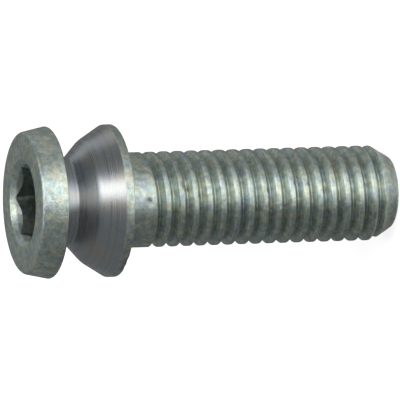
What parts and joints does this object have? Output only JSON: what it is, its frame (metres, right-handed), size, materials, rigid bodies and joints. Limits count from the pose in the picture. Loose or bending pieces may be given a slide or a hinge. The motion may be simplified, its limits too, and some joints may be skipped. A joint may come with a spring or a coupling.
{
  "type": "shear bolt",
  "caption": "One-piece break-off bolt: hexagon-socket drive disc on a thin neck, a cone with a flange, a plain collar and a right-hand metric thread.",
  "frame": {"origin": "centre of the seat, the underside of the flange that bears on the clamped part", "axes": "+Z along the bolt's axis towards the drive disc, so the bolt stands on its threaded end; two corners of the hexagon socket lie on the Y axis"},
  "size_m": [0.0158, 0.0158, 0.0397],
  "materials": {
    "steel": "zinc plated, with a bare turned cone and neck"
  },
  "bodies": {
    "root": {"shear_bolt": "steel"}
  },
  "joints": []
}
